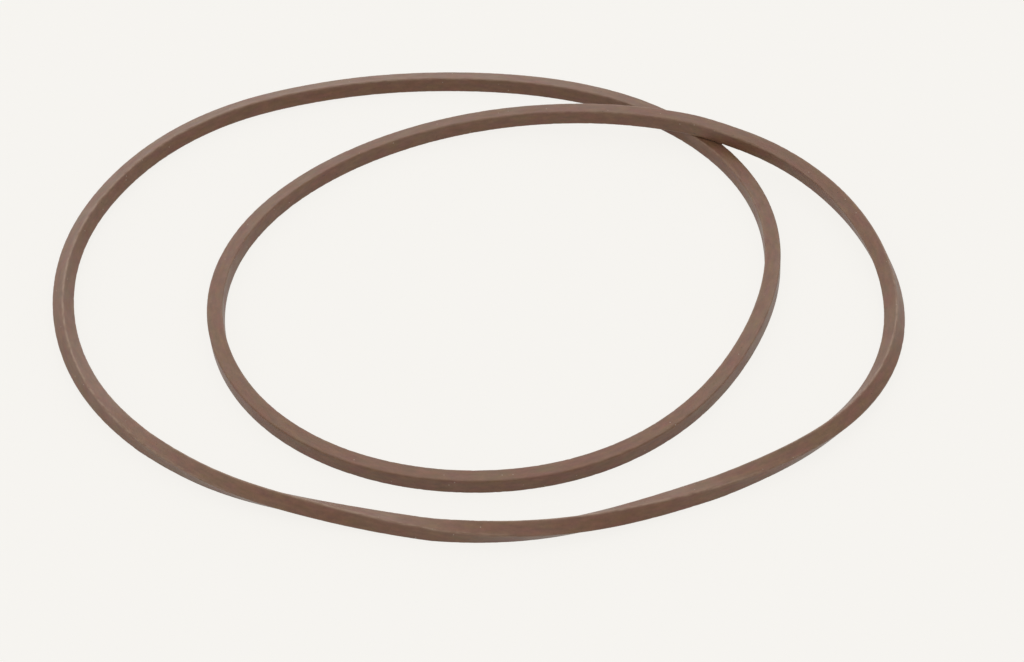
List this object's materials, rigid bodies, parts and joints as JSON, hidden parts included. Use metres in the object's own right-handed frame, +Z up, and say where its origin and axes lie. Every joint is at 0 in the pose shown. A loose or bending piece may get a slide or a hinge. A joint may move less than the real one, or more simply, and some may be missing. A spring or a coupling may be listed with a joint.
{
  "type": "sealing ring",
  "caption": "Large endless rubber ring of rounded square section, resting flat in a doubled loop; lies in a groove and seals the joint of a round cover, lid or flange.",
  "frame": {"origin": "middle of the lay's outline in plan, on the surface the ring lies on", "axes": "+X along the longest way across the lay, +Y towards the side where the strands cross, +Z up"},
  "size_m": [0.4242, 0.3518, 0.0165],
  "materials": {
    "brown_rubber": "matt moulded rubber with a slightly greasy sheen"
  },
  "bodies": {
    "root": {"sealing_ring": "brown_rubber"}
  },
  "joints": []
}
